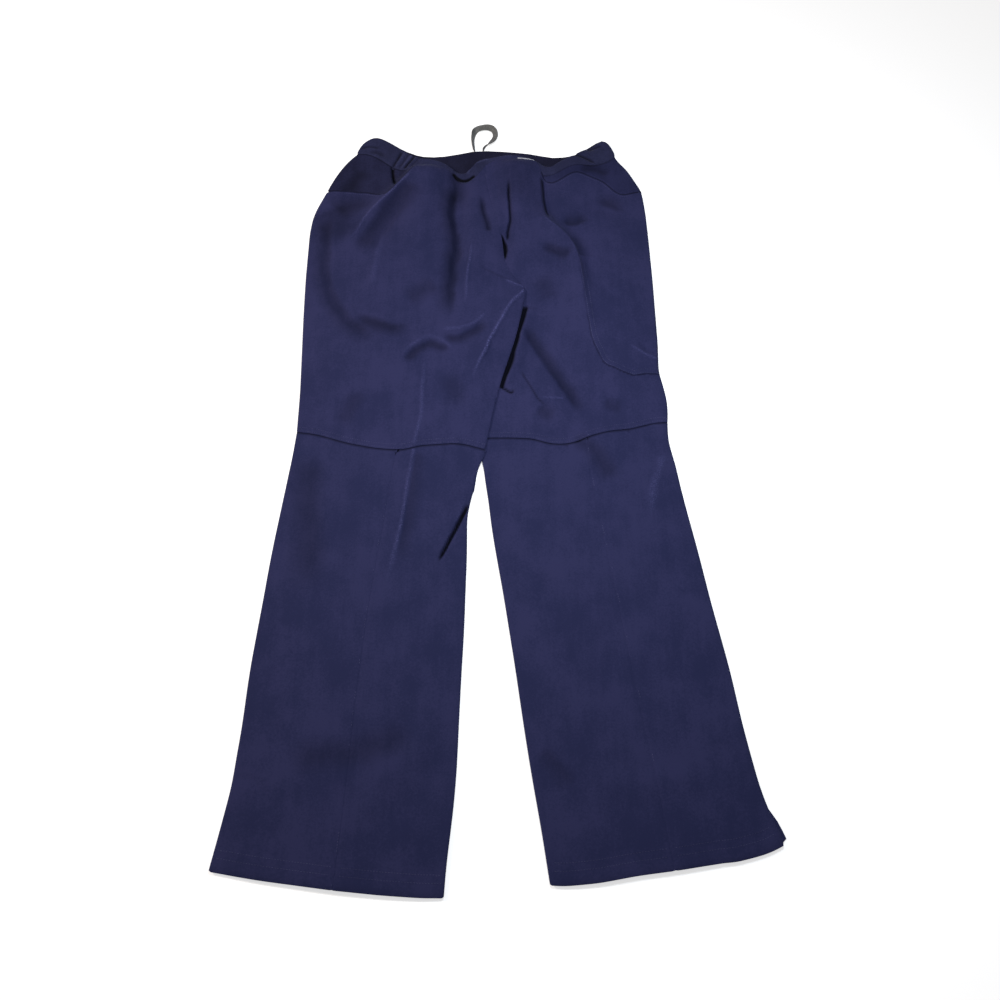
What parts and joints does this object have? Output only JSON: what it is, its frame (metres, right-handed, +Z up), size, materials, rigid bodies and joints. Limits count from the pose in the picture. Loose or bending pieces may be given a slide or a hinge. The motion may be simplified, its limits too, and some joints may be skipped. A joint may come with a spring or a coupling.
{
  "type": "scrub trousers",
  "caption": "Pull-on medical scrub trousers laid out flat, back side up: drawstring waist, knee and calf seams, cargo pocket on one leg.",
  "frame": {"origin": "on the table, under the middle of the garment's box without the drawstring", "axes": "+X to the right as seen from above, +Y from the hems to the waist, +Z up from the table"},
  "size_m": [0.59, 1.0492, 0.0222],
  "materials": {
    "navy_cloth": "matt fine twill",
    "waistband_cloth": "matt, lightly gathered",
    "label_cloth": "satin",
    "drawstring_tape": "matt woven tape"
  },
  "bodies": {
    "root": {"front_left_leg": "navy_cloth", "front_right_leg": "navy_cloth", "front_waistband": "waistband_cloth", "back_left_upper_leg": "navy_cloth", "back_right_upper_leg": "navy_cloth", "back_left_lower_leg_outer": "navy_cloth", "back_left_lower_leg_inner": "navy_cloth", "back_right_lower_leg_outer": "navy_cloth", "back_right_lower_leg_inner": "navy_cloth", "back_left_yoke": "navy_cloth", "back_right_yoke": "navy_cloth", "back_waistband": "waistband_cloth", "cargo_pocket": "navy_cloth", "label": "label_cloth", "drawstring": "drawstring_tape"}
  },
  "joints": []
}
